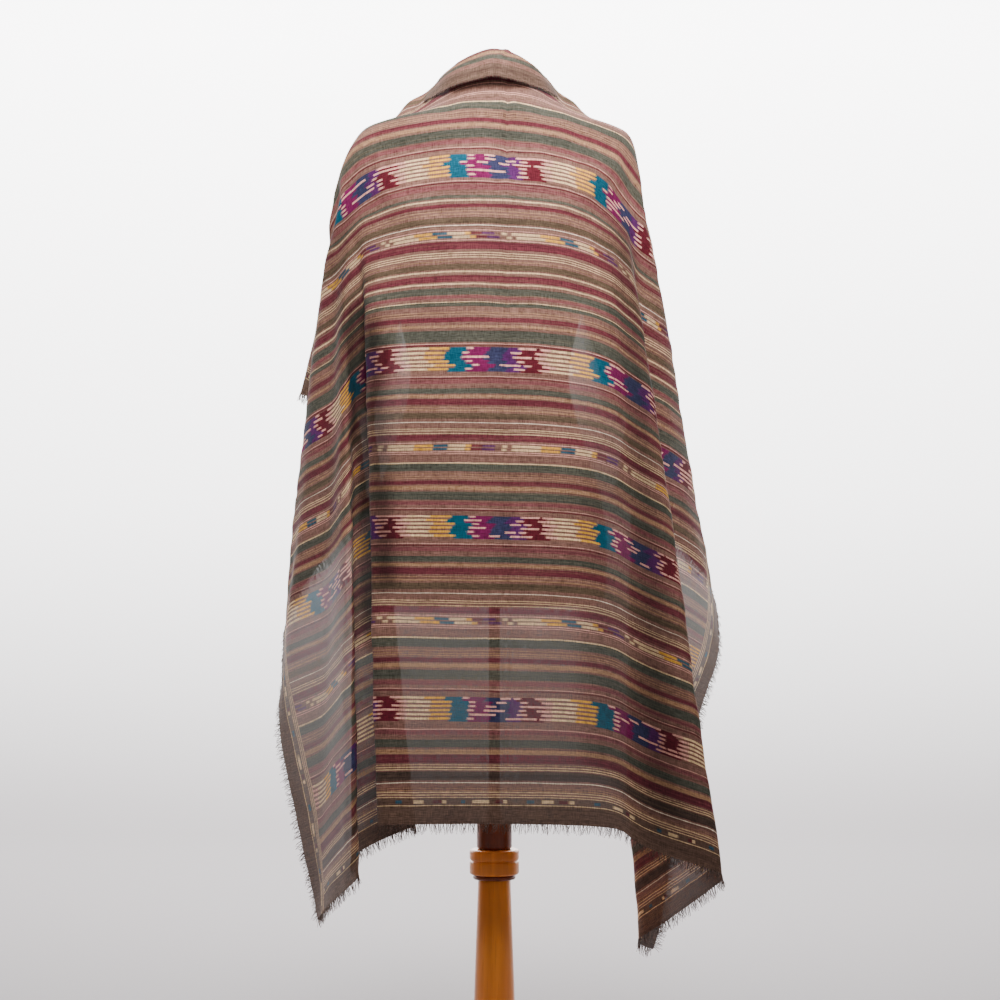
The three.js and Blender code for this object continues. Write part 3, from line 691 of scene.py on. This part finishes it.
# Wide ikat band: its light lines, and what lies between them.
LINE_STEP, LINE_WIDE = 5.87, 2.9
IKAT_PERIOD, IKAT_START = 208, 151
LIGHT_BLUR, DARK_BLUR = 3, 4
LINES_A_BAND = 7.0
LINE_JITTER, FEATHER, FEATHER_SCALE = 17, 7, 0.55  # how unevenly each line's dyes start
SPOT_LONG, SPOT_RARE, SPOT_REACH = 15.0, 0.74, (0.45, 0.98)  # undyed spots in the light lines
LIGHT_LINES = (
    (0, "cream"), (34, "yellow"), (64, "teal"), (89, "pink"), (98, "magenta"),
    (122, "slate"), (148, "purple"), (162, "pink"), (172, "dark red"), (192, "pink"),
)
DARK_LINES = (
    (0, "ground"), (63, "teal"), (90, "magenta"), (120, "slate"), (146, "purple"),
    (166, "dark red"), (198, "ground"),
)
# Narrow ikat band: two rows of dashes between two thin lines.
NARROW_MIDDLE, NARROW_PERIOD, NARROW_START = 133.6, 180, 76
NARROW_ROW, NARROW_RIM, NARROW_JITTER, NARROW_BLUR = (0.9, 4.4), (6.4, 7.6), 22, 3
NARROW_LINES = (
    (0, "cream"), (40, "yellow"), (68, "teal"), (90, "cream"), (114, "yellow"),
    (122, "maroon"), (138, "purple"), (156, "ground"), (166, "cream"), (173, "ground"),
)


STRAY, EDGE_STRAY, STRAY_SCALE = 3.2, 1.6, 0.012  # how far the weft strays from straight
# Scales of noise along a thread and across it, of cloudy patches, and of unevenly beaten bars.
THREAD_LONG, THREAD_FINE, BLOTCH, BAR_LONG, BAR_FINE = 0.09, 0.95, 0.02, 0.004, 0.34
WARP_SHOWS, WARP_SHOWS_IN_BAND = 0.18, 0.04
# How closed the cloth is in its middle and at its sides, and what close threads, its edges, the
# collar and the painted shade of deep folds and sides add to that.
CLOSED, SIDES_CLOSED, SIDES_FROM, SIDES_TO = 0.909, 0.878, 330.0, 420.0
THREADS_ADD, EDGE_ADDS, COLLAR_ADDS, PAINTED_SHADE_ADDS = 0.15, 0.02, 0.06, 0.22
EDGE_WIDE, COLLAR_FROM, COLLAR_TO = 26, 110.0, 190.0


class Cloth(Nodes):
    """The cloth's nodes, with its own places in mm: s from the left side edge, t from the top."""

    def __init__(self):
        super().__init__("woven_cloth")
        u, v = self.split(self.node("UVMap", uv_map="cloth"))[:2]
        self.s, self.t = u * WIDE, v * LONG
        self.flat = self.join(self.s, self.t)
        self.repeat = self.node("Attribute", out=2, attribute_name="repeat")
        # painted shade: the share of its light that each place keeps
        self.painted_lit = self.node("Attribute", out=2, attribute_name="painted_lit")
        self.sway = self.noise(self.flat, STRAY_SCALE, 1.0) - 0.5
        self.stray = self.sway * STRAY
        self.turn = self.repeat.fract() * REPEAT + self.stray
        self.second = self.between(self.repeat, 1.0, 2.0)
        self.second_turn = (self.repeat - 1.0) * TOP_REPEAT + self.stray
        self.away = ((self.repeat + 0.5).fract() - 0.5) * REPEAT + self.stray
        self.in_band = abs(self.away) < BAND_HALF
        self.from_side = WIDE / 2 - abs(self.s - WIDE / 2)
        self.from_end = LONG / 2 - abs(self.t - LONG / 2)

    def streaks(self, across, down):
        """Noise with its own scale across the cloth and down it."""
        return self.noise(self.join(self.s * across, self.t * down), 1.0)

    def plain_stripes(self):
        """The stripes of every repeat, and the second repeat's own."""
        second = self.stripes(self.second_turn.at_least(0.0), TOP_REPEAT, TOP_STRIPES)
        return self.mix(self.second, self.stripes(self.turn, REPEAT, STRIPES), second)

    def narrow_band(self, colour):
        """Two rows of dashes between two thin lines, from the second repeat on."""
        off = self.turn - NARROW_MIDDLE
        off += self.second * (self.second_turn - TOP_NARROW_MIDDLE - off)
        jitter = self.chance(self.repeat.floor() * 2.0 + (off > 0.0), 3.0) * NARROW_JITTER
        run = self.s + jitter + NARROW_START
        dashes = self.pattern(run, NARROW_PERIOD, NARROW_LINES, NARROW_BLUR)
        in_row = (self.repeat > 1.0) * self.between(abs(off), *NARROW_ROW)
        colour = self.mix(in_row, colour, dashes)
        return self.mix(self.between(abs(off), *NARROW_RIM), colour, DYES["pink"])

    def wide_band(self, colour):
        """Light lines with darker dyes between them."""
        place = (self.away + BAND_HALF) / LINE_STEP
        which = (self.repeat + 0.5).floor() * LINES_A_BAND + place.floor()
        jitter = (self.chance(which, 1.0) - 0.5) * LINE_JITTER
        feather = (self.noise(self.flat, FEATHER_SCALE, 1.0) - 0.5) * FEATHER
        run = self.s + jitter + feather + IKAT_START
        light = self.pattern(run, IKAT_PERIOD, LIGHT_LINES, LIGHT_BLUR)
        dark = self.pattern(run, IKAT_PERIOD, DARK_LINES, DARK_BLUR)
        undyed = self.chance((run / SPOT_LONG).floor(), which) > SPOT_RARE
        undyed *= self.between((run / IKAT_PERIOD).fract(), *SPOT_REACH)
        light = self.mix(undyed, light, DYES["pink"])
        in_line = place.fract() < LINE_WIDE / LINE_STEP
        return self.mix(self.in_band, colour, self.mix(in_line, dark, light))

    def hem(self, colour):
        """The hem's own stripes, below the last wide band."""
        below = (self.repeat - LAST_BAND) * REPEAT + self.stray
        stripes = self.stripes(below.at_least(0.0), HEM_RUN, HEM_STRIPES)
        return self.mix(below > BAND_HALF, colour, stripes)

    def border(self, colour):
        """Lines and dashes along every edge, fewer of them on the collar, and brown sides."""
        end_wide = self.ranged(self.t, COLLAR_LONG, COLLAR_LONG + 1.0, COLLAR_BORDER, BORDER_WIDE)
        for edge, run, wide in (
                (self.from_end, self.s, end_wide), (self.from_side, self.t, BORDER_WIDE)):
            edge += self.sway * EDGE_STRAY
            lines = self.stripes(edge.at_least(0.0), BORDER_RUN, BORDER)
            run += self.noise(self.join(run, 0.0), 0.02, 1.0) * DASH_DRIFT
            dashes = self.pattern(run, DASH_PERIOD, DASHES, DASH_BLUR)
            lines = self.mix(self.between(edge, *DASH_ROW), lines, dashes)
            colour = self.mix(edge < wide, colour, lines)
        return self.mix(self.from_side < SIDE_BROWN, colour, DYES["brown"])

    def threads(self, colour, weft, warp):
        """A colour with the tones of single threads, cloudy patches and uneven beating on it, and
        painted shade.
        """
        shows = self.in_band * (WARP_SHOWS_IN_BAND - WARP_SHOWS) + WARP_SHOWS
        colour = self.mix(shows, colour, DYES["warp"])
        picks = (1.0 - self.in_band) * (self.streaks(BAR_LONG, BAR_FINE) - 0.5)
        tone = weft * 1.9 + warp * 1.5 - 0.7
        tone *= self.noise(self.flat, BLOTCH, 3.0) * 0.4 + 0.9
        # painted shade darkens the tone in deep folds and at the sides
        tone *= (picks * 1.5 + 1.0) * self.painted_lit
        colour = self.mix(self.ranged(picks, 0.02, 0.2, 0.0, 0.4), colour, DYES["olive"])
        grey_tone = self.node("CombineColor", {0: tone, 1: tone, 2: tone})
        return self.mix(1.0, colour, grey_tone, "MULTIPLY")

    def closed(self, close):
        """How little of what is behind shows through."""
        from_middle = abs(self.s - WIDE / 2)
        share = self.ranged(from_middle, SIDES_FROM, SIDES_TO, CLOSED, SIDES_CLOSED)
        nearest = self.math("MINIMUM", self.from_side, self.from_end)
        share += (nearest < EDGE_WIDE) * EDGE_ADDS + close * THREADS_ADD
        share += self.ranged(self.t, COLLAR_FROM, COLLAR_TO, COLLAR_ADDS, 0.0)
        # the cloth is more closed where shade is painted
        share += (1.0 - self.painted_lit) * PAINTED_SHADE_ADDS
        return self.node("Clamp", {0: share, 1: 0.8, 2: 0.995})


def woven_cloth():
    """Striped cloth: place down the cloth picks the stripe, place across it the ikat's dye."""
    n = Cloth()
    colour = n.border(n.hem(n.wide_band(n.narrow_band(n.plain_stripes()))))
    weft, warp = n.streaks(THREAD_LONG, THREAD_FINE), n.streaks(THREAD_FINE, THREAD_LONG)
    close = (weft + warp) * 0.5
    return n.finish({
        "Base Color": n.threads(colour, weft, warp),
        "Alpha": n.closed(close),
        "Normal": n.node("Bump", {"Height": close, "Strength": 0.35, "Distance": 0.0006}),
        "Roughness": 0.82,
        "Specular IOR Level": 0.12,
        "Sheen Weight": 0.05,
        "Sheen Roughness": 0.4,
    })


def loose_ends():
    """Fringe: brown ends, a few lighter, each a little different."""
    n = Nodes("loose_ends")
    tone = n.noise(n.node("TexCoord", out=3), 420)
    colour = n.ramp(tone, [
        (0.3, DYES["dark brown"]), (0.55, DYES["brown"]), (0.72, DYES["ground"])])
    return n.finish({"Base Color": colour, "Roughness": 0.85})


def linen():
    """Form's cover: plain weave of pale flax with slubs along both threads."""
    n = Nodes("linen")
    x, y, z = n.split(n.node("TexCoord", out=3))
    around = n.math("ARCTAN2", y, x)
    weft = n.noise(n.join(around * 9.0, z * 900.0), 1.0)
    warp = n.noise(n.join(around * 130.0, z * 60.0), 1.0)
    weave = (weft + warp) * 0.5
    colour = n.ramp(weave, [
        (0.3, dye(176, 158, 130)), (0.55, dye(206, 190, 162)), (0.75, dye(222, 209, 184))])
    bump = n.node("Bump", {"Height": weave, "Strength": 0.4, "Distance": 0.0008})
    return n.finish({"Base Color": colour, "Normal": bump, "Roughness": 0.9})


GRAIN_SCALE, PORE_SCALE = (34, 34, 2.4), (420, 420, 16)  # much slower up the piece than across it
PORES_FROM, PORES_DARK = 0.62, 0.35


def varnished_wood(name, light, dark):
    """Turned hardwood under varnish: grain runs up the piece, fine dark pores in it."""
    n = Nodes(name)
    point = n.node("TexCoord", out=3)
    grain = n.noise(n.node("Mapping", {"Vector": point, "Scale": GRAIN_SCALE}), 1.0, 6.0)
    pores = n.noise(n.node("Mapping", {"Vector": point, "Scale": PORE_SCALE}), 1.0)
    colour = n.ramp(grain, [(0.3, dark), (0.52, light), (0.75, dark)])
    spots = (pores > PORES_FROM) * PORES_DARK
    return n.finish({
        "Base Color": n.mix(spots, colour, dark),
        "Roughness": grain * 0.18 + 0.22,
        "Specular IOR Level": 0.3,
        "Coat Weight": 0.25,
        "Coat Roughness": 0.15,
    })


def black_enamel():
    """Pole's black finish, a little dull where it is handled."""
    n = Nodes("black_enamel")
    worn = n.noise(n.node("TexCoord", out=3), 60)
    return n.finish({
        "Base Color": (0.012, 0.011, 0.011, 1),
        "Roughness": worn * 0.2 + 0.25,
        "Metallic": 0.4,
    })


# ---- the pieces ---------------------------------------------------------------------------
def make_scarf(points, s, t, material):
    """The scarf as one woven square, standing for its five stretches."""
    stretches = [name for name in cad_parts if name.startswith("scarf_")]
    scarf = add_piece("scarf", points.reshape(-1, 3), grid_faces(*s.shape).tolist(),
                      material, stretches)
    set_uv(scarf.data, s / WIDE + 0.5, t / LONG)
    # the second map is painted shade: the share of its light that each point keeps
    maps = {
        "repeat": np.interp(t, WEAVING["t"], WEAVING["repeat"]),
        "painted_lit": np.maximum(1 - depth_of(PAINTED_SHADES, s, t), LEAST_LIT)}
    for name, values in maps.items():
        data = scarf.data.attributes.new(name, "FLOAT", "POINT").data
        data.foreach_set("value", values.ravel())
    return scarf


STRANDS, STRAND_LONG, STRAND_THICK = 860, 14, 0.6
SHORTEST, LONGEST = 0.62, 1.05  # as shares of that length
BEND, BOW, CLUMP, SINK = 0.3, 0.16, 0.35, 0.12  # shares of its length by which a strand strays
ROOTED = 0.06  # share of its length that is inside the rim
RINGS, STRAND_SIDES = 5, 3


def make_fringe(name, edge, inner, material, seed, worn=0):
    """Loose ends along one edge: strand k runs from the rim by f*length along the cloth's own
    way out, swaying sideways by sin and sinking with f^2, three-sided and pointed; worn
    is the share of the length that is gone at the middle of the edge."""
    random = np.random.default_rng(seed)
    place = np.linspace(0.5, len(edge) - 1.5, STRANDS) + random.uniform(-0.3, 0.3, STRANDS)
    low = np.clip(place.astype(int), 0, len(edge) - 2)
    f = (place - low)[:, None]
    root = edge[low] * (1 - f) + edge[low + 1] * f
    within = inner[low] * (1 - f) + inner[low + 1] * f
    out, side = unit(root - within), unit(edge[low + 1] - edge[low])
    up = unit(np.cross(side, out))
    length = STRAND_LONG * random.uniform(SHORTEST, LONGEST, STRANDS)[:, None]
    from_middle = (place / (len(edge) - 1) - 0.5) * WIDE
    length *= 1 - worn * np.exp(-(from_middle / COLLAR_WIDE)[:, None] ** 4)
    bend = random.normal(0, BEND, (STRANDS, 1))
    bow = random.normal(0, BOW, (STRANDS, 1))
    clump = CLUMP * np.sin(place * 1.7 + seed)[:, None]
    rings = []
    for f in np.linspace(0, 1, RINGS):
        sway = length * (f * bend + 0.5 * f * f * clump)
        middle = root + out * length * (f - ROOTED) + side * sway + up * length * bow * f * f
        middle[:, 2] -= (SINK * length * f * f)[:, 0]
        radius = STRAND_THICK * (1 - 0.6 * f)
        turn = 2 * np.pi * np.arange(STRAND_SIDES) / STRAND_SIDES
        ring = middle[:, None] + radius * (
            side[:, None] * np.cos(turn)[:, None] + up[:, None] * np.sin(turn)[:, None])
        rings.append(ring)
    points = np.stack(rings, 1).reshape(-1, 3)
    one = grid_faces(RINGS, STRAND_SIDES, closed=True)
    step = STRAND_SIDES * RINGS
    faces = (one[None] + step * np.arange(STRANDS)[:, None, None]).reshape(-1, 4).tolist()
    starts = step * np.arange(STRANDS)[:, None]
    faces += (starts + np.array([0, 1, 2])).tolist()
    faces += (starts + np.array([step - 1, step - 2, step - 3])).tolist()
    return add_piece(name, points, faces, material, [name])


FORM_STEP, FORM_SIDES = 6, 120
CAP_RINGS = (0.02, 0.5, 0.96)  # rings of the form's flat ends, as shares of their outline


def make_form(material):
    """The form: half-ellipse sections behind and before, on a smooth curve through its rows."""
    between = np.arange(FORM["z"][0] + 2, FORM["z"][-1] - 2, FORM_STEP)
    heights = np.unique(np.concatenate([FORM["z"], between]))
    turn = np.linspace(0, 2 * np.pi, FORM_SIDES, endpoint=False)
    z, angle = np.meshgrid(heights, turn, indexing="ij")
    wide = along(FORM, "z", "wide", z, 1)
    back, front = (along(FORM, "z", name, z, 1) for name in ("back", "front"))
    deep = np.where(np.sin(angle) < 0, back, front)
    grid = np.stack([FORM_X + wide * np.cos(angle), deep * np.sin(angle), z], -1)
    middle = np.array([FORM_X, 0, 0])
    caps = []
    for ring in (grid[0], grid[-1]):
        caps.append([middle * [1, 1, 0] + (ring - middle) * [f, f, 1] for f in CAP_RINGS])
    low, high = caps
    grid = np.concatenate([low, grid, high[::-1]])
    points = grid[::-1].reshape(-1, 3)
    faces = grid_faces(len(grid), len(turn), closed=True).tolist()
    count = len(turn)
    faces += [list(range(count)), list(range(len(points) - 1, len(points) - count - 1, -1))]
    return add_piece("form_torso_cover", points, faces, material, ["form_torso"])


TURNED_SIDES = 96


def rounded(outline, radius, steps=5):
    """An outline with each inner corner cut by a short curve (quadratic through the corner)."""
    corners = np.array(outline, float)
    made = [corners[:1]]
    f = np.linspace(0, 1, steps)[:, None]
    for before, corner, after in zip(corners, corners[1:], corners[2:]):
        reach = [min(radius, 0.45 * np.linalg.norm(p - corner)) for p in (before, after)]
        a = corner + (before - corner) / np.linalg.norm(before - corner) * reach[0]
        b = corner + (after - corner) / np.linalg.norm(after - corner) * reach[1]
        made.append((1 - f) ** 2 * a + 2 * f * (1 - f) * corner + f * f * b)
    made.append(corners[-1:])
    return np.concatenate(made)


def turn_piece(name, outline, material, node, radius):
    """A turned piece: its outline (radius, height) from the axis and back, spun round the post."""
    line = rounded(outline, radius)
    turn = np.linspace(0, 2 * np.pi, TURNED_SIDES, endpoint=False)
    body = line[1:-1]
    x, y = body[:, :1] * np.cos(turn), body[:, :1] * np.sin(turn)
    ring_points = np.stack([x, y, np.broadcast_to(body[:, 1:], x.shape)], -1).reshape(-1, 3)
    faces = grid_faces(len(body), TURNED_SIDES, closed=True)[:, ::-1].tolist()
    low = list(range(TURNED_SIDES - 1, -1, -1))
    high = [len(ring_points) - TURNED_SIDES + k for k in range(TURNED_SIDES)]
    return add_piece(name, ring_points, [*faces, low, high], material, [node])


# The stand, a row for each turned piece: its slot, how round its corners are, and the points of
# its outline. A point is a share of the CAD piece's radius and some millimetres more, then a
# share of its height and some millimetres more.
DISC = ((1, 0, 0, 0), (1, 0, 1, 0))
TURNED = {
    "pole": ("black_metal", 1, ((1, 0, 0, 0), (1, 0, 0, 5), (0, 8, 0, 17), (0, 8, 1, 0))),
    "block": ("dark_wood", 4, DISC),
    "collar": ("wood", 4, (
        (1, 0, 0, 0), (1, 0, 0, 19.2), (1, -2.5, 0, 20.7), (1, 0, 0, 22.2), (1, 0, 1, 0))),
    "neck_ring": ("dark_wood", 3, DISC),
    "post": ("wood", 1.5, ((1, 0, 0, 0), (0, 28.7, 0.5, 0), (0, 23.5, 1, 0))),
    "base": ("wood", 6, ((1, 0, 0, 0), (1, 0, 1, -6), (1, -6, 1, 0))),
}


def make_stand(materials):
    """The stand's pieces, each turned to the height and radius of its CAD piece."""
    for name, (slot, radius, shape) in TURNED.items():
        node = "stand_" + name
        low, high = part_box(node)
        wide = (high.x - low.x) / 2 / MM
        low, high = low.z / MM, high.z / MM
        outline = [(out * wide + more, low + up * (high - low) + rise)
                   for out, more, up, rise in shape]
        turn_piece(name, [(0, low), *outline, (0, high)], materials[slot], node, radius)


# ---- stage, lights and camera -------------------------------------------------------------
# The stage: where its floor starts, its wall, the bend between them, its top and half its width.
NEAR, FAR, STAGE_BEND, STAGE_TOP, STAGE_HALF = -8.0, 5.6, 2.4, 8.0, 9.0
GLOW = 5.8  # painted light: the wall's own glow at its brightest
# Lights, a row for each: place, aim, size, power, and how widely the beam spreads in degrees.
LIGHTS = {
    "key": ((0.02, -1.2, 2.7), (0, 0, 1.61), 1.1, 13.2, 48),
    "fill": ((0.6, -2.6, 2.2), (0, 0, 1.6), 1.5, 2.0, 60),
    "top": ((0, 2.2, 4.2), (0, 5.4, 1.8), 2.6, 600, 180),
}
ROOM_LIGHT = 0.1
LENS, SENSOR, CAMERA_AT = 106.5, 36, (0.0082, -4.30, 0.868)


def grey(share):
    """A grey, for the stage's ramps."""
    return (share, share, share, 1)


def make_stage():
    """A pale floor that sweeps up into a backdrop: two straights joined by a quarter circle. It has
    painted light: it glows by itself more and more up its height, and its colour is painted darker
    towards the floor.
    """
    turn = np.linspace(0, np.pi / 2, 24)
    y = np.concatenate([[NEAR], FAR - STAGE_BEND + STAGE_BEND * np.sin(turn), [FAR]])
    z = np.concatenate([[0], STAGE_BEND - STAGE_BEND * np.cos(turn), [STAGE_TOP]])
    x = np.array([-STAGE_HALF, STAGE_HALF])
    grid = np.stack([
        np.broadcast_to(x, (len(y), 2)), np.broadcast_to(y[:, None], (len(y), 2)),
        np.broadcast_to(z[:, None], (len(y), 2))], -1)
    mesh = bpy.data.meshes.new("backdrop")
    mesh.from_pydata(grid.reshape(-1, 3).tolist(), [], grid_faces(len(y), 2).tolist())
    mesh.polygons.foreach_set("use_smooth", np.ones(len(mesh.polygons), bool))
    n = Nodes("backdrop_paper_painted_light")
    height = n.split(n.node("TexCoord", out=3))[2]
    up = n.ranged(height, 0.0, 2.4, 0.0, 1.0)
    # painted light: the stage glows by itself, faint at the floor and brightest up the wall
    glow = n.ramp(up, [(0.0, grey(0.015)), (0.36, grey(0.48)), (1.0, grey(1))])
    mesh.materials.append(n.finish({
        # painted shade: the colour is darker towards the floor
        "Base Color": n.ramp(up, [
            (0.0, (0.3, 0.28, 0.285, 1)), (0.3, (0.5, 0.485, 0.49, 1)), (1.0, grey(0.8))]),
        "Emission Strength": glow * GLOW,
        "Emission Color": (1, 0.985, 0.985, 1),
        "Roughness": 0.95,
        "Specular IOR Level": 0.1,
    }))
    backdrop = bpy.data.objects.new("backdrop", mesh)
    bpy.context.scene.collection.objects.link(backdrop)


def add_light(name, place, aim, size, power, spread):
    """A soft square light at a place, pointing at another, its beam spread over an angle."""
    data = bpy.data.lights.new(name, "AREA")
    data.size, data.energy, data.spread = size, power, np.radians(spread)
    light = bpy.data.objects.new(name, data)
    light.location = place
    light.visible_camera = False
    light.rotation_euler = (Vector(aim) - Vector(place)).to_track_quat("-Z", "Y").to_euler()
    bpy.context.scene.collection.objects.link(light)


def make_lights():
    """Soft light from above that falls off down the cloth, a weaker one from the right and one
    for the backdrop."""
    for name, row in LIGHTS.items():
        add_light(name, *row)
    world = bpy.data.worlds.new("room")
    bpy.context.scene.world = world
    world.use_nodes = True
    background = world.node_tree.nodes["Background"]
    background.inputs["Color"].default_value = (1, 0.985, 0.97, 1)
    background.inputs["Strength"].default_value = ROOM_LIGHT


def make_camera():
    """Level camera behind the form, a little right of the post."""
    data = bpy.data.cameras.new("camera")
    data.lens, data.sensor_width = LENS, SENSOR
    camera = bpy.data.objects.new("camera", data)
    camera.location = CAMERA_AT
    camera.rotation_euler = (np.pi / 2, 0, 0)
    bpy.context.scene.collection.objects.link(camera)
    bpy.context.scene.camera = camera


def main():
    make_camera()
    make_lights()
    make_stage()
    points, s, t = cloth_surface()
    scarf = make_scarf(points, s, t, woven_cloth())
    ends = loose_ends()
    fringes = [
        make_fringe("fringe_hem", points[-1], points[-3], ends, 1),
        make_fringe("fringe_top", points[0][::-1], points[2][::-1], ends, 2, 0.75),
        make_fringe("fringe_left", points[:, 0], points[:, 2], ends, 3),
        make_fringe("fringe_right", points[::-1, -1], points[::-1, -3], ends, 4),
    ]
    make_form(linen())
    make_stand({
        "wood": varnished_wood("varnished_wood", dye(216, 130, 48), dye(180, 102, 30)),
        "dark_wood": varnished_wood("dark_varnish", dye(112, 54, 26), dye(78, 34, 16)),
        "black_metal": black_enamel(),
    })


main()
